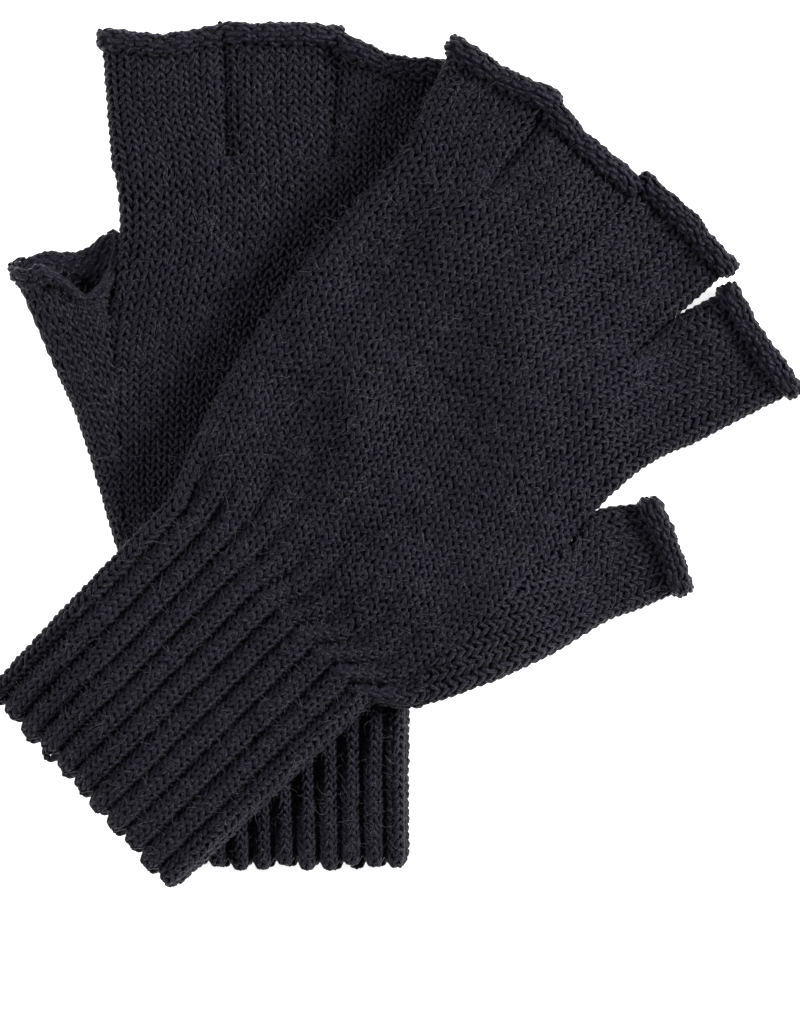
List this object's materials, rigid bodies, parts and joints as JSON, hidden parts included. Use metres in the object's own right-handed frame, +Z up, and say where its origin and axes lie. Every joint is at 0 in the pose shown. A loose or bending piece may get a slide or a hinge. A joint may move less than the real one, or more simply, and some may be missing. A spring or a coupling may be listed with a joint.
{
  "type": "half-finger gloves, pair",
  "caption": "Pair of black knitted half-finger gloves laid one across the other, with long ribbed cuffs, rolled finger edges and a thumb tube on each.",
  "frame": {"origin": "on the surface under the middle of the pair's bounding box", "axes": "+Z up off the surface, +Y towards the fingertips of the lower, right-hand glove, +X towards the fingertips side of the upper, left-hand glove"},
  "size_m": [0.2006, 0.2166, 0.0215],
  "materials": {
    "plain_knit": "matte",
    "ribbing": "matte",
    "rolled_edge": "matte",
    "darning_yarn": "matte"
  },
  "bodies": {
    "right_glove": {"right_cuff": "ribbing", "right_hand": "plain_knit", "right_ring": "plain_knit", "right_ring_rim": "rolled_edge", "right_little": "plain_knit", "right_little_rim": "rolled_edge", "right_knot_index_middle": "darning_yarn", "right_knot_middle_ring": "darning_yarn", "right_knot_ring_little": "darning_yarn", "right_knot_thumb": "darning_yarn"},
    "left_glove": {"left_cuff": "ribbing", "left_hand": "plain_knit", "left_knot_index_middle": "darning_yarn", "left_knot_middle_ring": "darning_yarn", "left_knot_ring_little": "darning_yarn", "left_knot_thumb": "darning_yarn"},
    "left_index_finger": {"left_index": "plain_knit", "left_index_rim": "rolled_edge"},
    "left_middle_finger": {"left_middle": "plain_knit", "left_middle_rim": "rolled_edge"},
    "left_ring_finger": {"left_ring": "plain_knit", "left_ring_rim": "rolled_edge"},
    "left_little_finger": {"left_little": "plain_knit", "left_little_rim": "rolled_edge"},
    "left_thumb_tube": {"left_thumb": "plain_knit", "left_thumb_rim": "rolled_edge"},
    "right_index_finger": {"right_index": "plain_knit", "right_index_rim": "rolled_edge"},
    "right_middle_finger": {"right_middle": "plain_knit", "right_middle_rim": "rolled_edge"},
    "right_thumb_tube": {"right_thumb": "plain_knit", "right_thumb_rim": "rolled_edge"}
  },
  "joints": [
    {"name": "left_glove_lift", "type": "slide", "parent": "right_glove", "child": "left_glove", "axis": [0, 0, 1], "range_m": [0, 0.06]},
    {"name": "left_index_fold", "type": "hinge", "parent": "left_glove", "child": "left_index_finger", "pos_m": [0.06827, 0.01444, 0.01133], "axis": [0.58, -0.8146, 0], "range_deg": [0, 65]},
    {"name": "left_middle_fold", "type": "hinge", "parent": "left_glove", "child": "left_middle_finger", "pos_m": [0.05064, 0.03598, 0.0204], "axis": [0.6742, -0.7386, 0], "range_deg": [0, 65]},
    {"name": "left_ring_fold", "type": "hinge", "parent": "left_glove", "child": "left_ring_finger", "pos_m": [0.03235, 0.05591, 0.0209], "axis": [0.6751, -0.7377, 0], "range_deg": [0, 65]},
    {"name": "left_little_fold", "type": "hinge", "parent": "left_glove", "child": "left_little_finger", "pos_m": [0.01435, 0.07259, 0.0209], "axis": [0.7909, -0.6119, 0], "range_deg": [0, 65]},
    {"name": "left_thumb_fold", "type": "hinge", "parent": "left_glove", "child": "left_thumb_tube", "pos_m": [0.05105, -0.0315, 0.01458], "axis": [0.4723, -0.8815, 0], "range_deg": [0, 60]},
    {"name": "right_index_fold", "type": "hinge", "parent": "right_glove", "child": "right_index_finger", "pos_m": [-0.05453, 0.07377, 0.0097], "axis": [0.9986, 0.053, 0], "range_deg": [0, 65]},
    {"name": "right_middle_fold", "type": "hinge", "parent": "right_glove", "child": "right_middle_finger", "pos_m": [-0.02665, 0.07452, 0.0097], "axis": [1, 0, 0], "range_deg": [0, 65]},
    {"name": "right_thumb_fold", "type": "hinge", "parent": "right_glove", "child": "right_thumb_tube", "pos_m": [-0.07578, 0.02883, 0.0097], "axis": [0.628, 0.7782, 0], "range_deg": [0, 60]}
  ]
}
